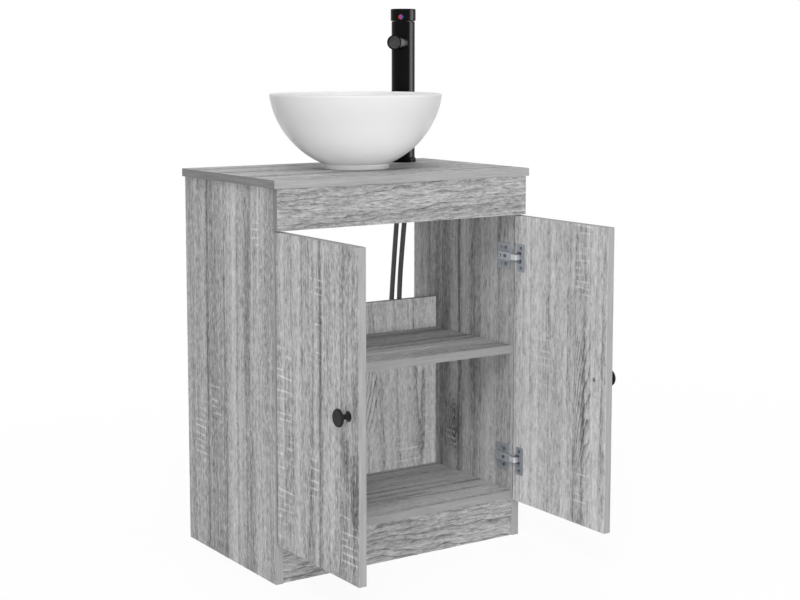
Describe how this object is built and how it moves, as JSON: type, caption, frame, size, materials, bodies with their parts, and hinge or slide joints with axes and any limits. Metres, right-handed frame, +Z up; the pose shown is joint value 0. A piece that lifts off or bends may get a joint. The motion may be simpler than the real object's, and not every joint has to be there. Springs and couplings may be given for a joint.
{
  "type": "bathroom vanity unit",
  "caption": "Grey oak-decor vanity cabinet with open double doors on concealed hinges, a shelf, a round white countertop basin with pop-up waste and a black column tap.",
  "frame": {"origin": "on the floor under the middle of the unit with its doors square open, cords not counted", "axes": "+X to the right as seen from the front, -Y to the front where the doors are, +Y to the wall, +Z up"},
  "size_m": [0.5874, 0.617, 1.032],
  "materials": {
    "oak_decor": "satin",
    "beech": "matte",
    "nickel": "satin",
    "black_knob": "satin",
    "white_glaze": "gloss",
    "chrome_waste": "polished",
    "black_rubber": "matte",
    "black_plastic": "matte",
    "black_tap": "satin",
    "grey_plastic": "matte",
    "brass": "satin",
    "red_plastic": "gloss",
    "blue_plastic": "gloss",
    "hose": "satin"
  },
  "bodies": {
    "cabinet": {"side_panel_left": "oak_decor", "side_panel_right": "oak_decor", "worktop": "oak_decor", "front_apron": "oak_decor", "plinth": "oak_decor", "bottom_panel": "oak_decor", "back_panel": "oak_decor", "rear_rail": "oak_decor", "shelf": "oak_decor", "dowels": "beech", "shelf_pins": "nickel", "hinge_plate_screws": "nickel", "hinge_arm_left_upper": "nickel", "hinge_arm_left_lower": "nickel", "hinge_arm_right_upper": "nickel", "hinge_arm_right_lower": "nickel", "hinge_plate_left_upper": "nickel", "hinge_plate_left_lower": "nickel", "hinge_plate_right_upper": "nickel", "hinge_plate_right_lower": "nickel", "tap_stud": "nickel", "tap_horseshoe": "nickel", "hot_hose_sleeve": "nickel", "cold_hose_sleeve": "nickel", "basin": "white_glaze", "waste_body": "chrome_waste", "waste_gasket": "black_rubber", "waste_washer": "black_rubber", "tap_pad": "black_rubber", "waste_nut": "black_plastic", "tap_base_ring": "black_tap", "tap_body": "black_tap", "spout": "black_tap", "aerator": "grey_plastic", "cartridge": "grey_plastic", "cartridge_ring": "brass", "tap_nut": "brass", "hot_hose_nut": "brass", "cold_hose_nut": "brass", "hot_hose": "hose", "cold_hose": "hose"},
    "left_door": {"door_left": "oak_decor", "knob_left": "black_knob", "knob_screw_left": "nickel", "hinge_cup_left_upper": "nickel", "hinge_cup_left_lower": "nickel", "hinge_pins_left": "nickel", "hinge_cup_screws_left": "nickel"},
    "right_door": {"door_right": "oak_decor", "knob_right": "black_knob", "knob_screw_right": "nickel", "hinge_cup_right_upper": "nickel", "hinge_cup_right_lower": "nickel", "hinge_pins_right": "nickel", "hinge_cup_screws_right": "nickel"},
    "tap_cap": {"tap_handle": "black_tap", "hot_mark": "red_plastic", "cold_mark": "blue_plastic"},
    "plug": {"waste_plug": "chrome_waste"}
  },
  "joints": [
    {"name": "left_door_swing", "type": "hinge", "parent": "cabinet", "child": "left_door", "pos_m": [-0.26412, -0.04587, 0.35375], "axis": [0, 0, 1], "range_deg": [-15, 90]},
    {"name": "right_door_swing", "type": "hinge", "parent": "cabinet", "child": "right_door", "pos_m": [0.26412, -0.04587, 0.35375], "axis": [0, 0, -1], "range_deg": [-15, 90]},
    {"name": "tap_cap_turn", "type": "hinge", "parent": "cabinet", "child": "tap_cap", "pos_m": [0.178, 0.2315, 1.02], "axis": [0, 0, 1], "range_deg": [0, 100]},
    {"name": "plug_slide", "type": "slide", "parent": "cabinet", "child": "plug", "axis": [0, 0, 1], "range_m": [0, 0.008]}
  ]
}
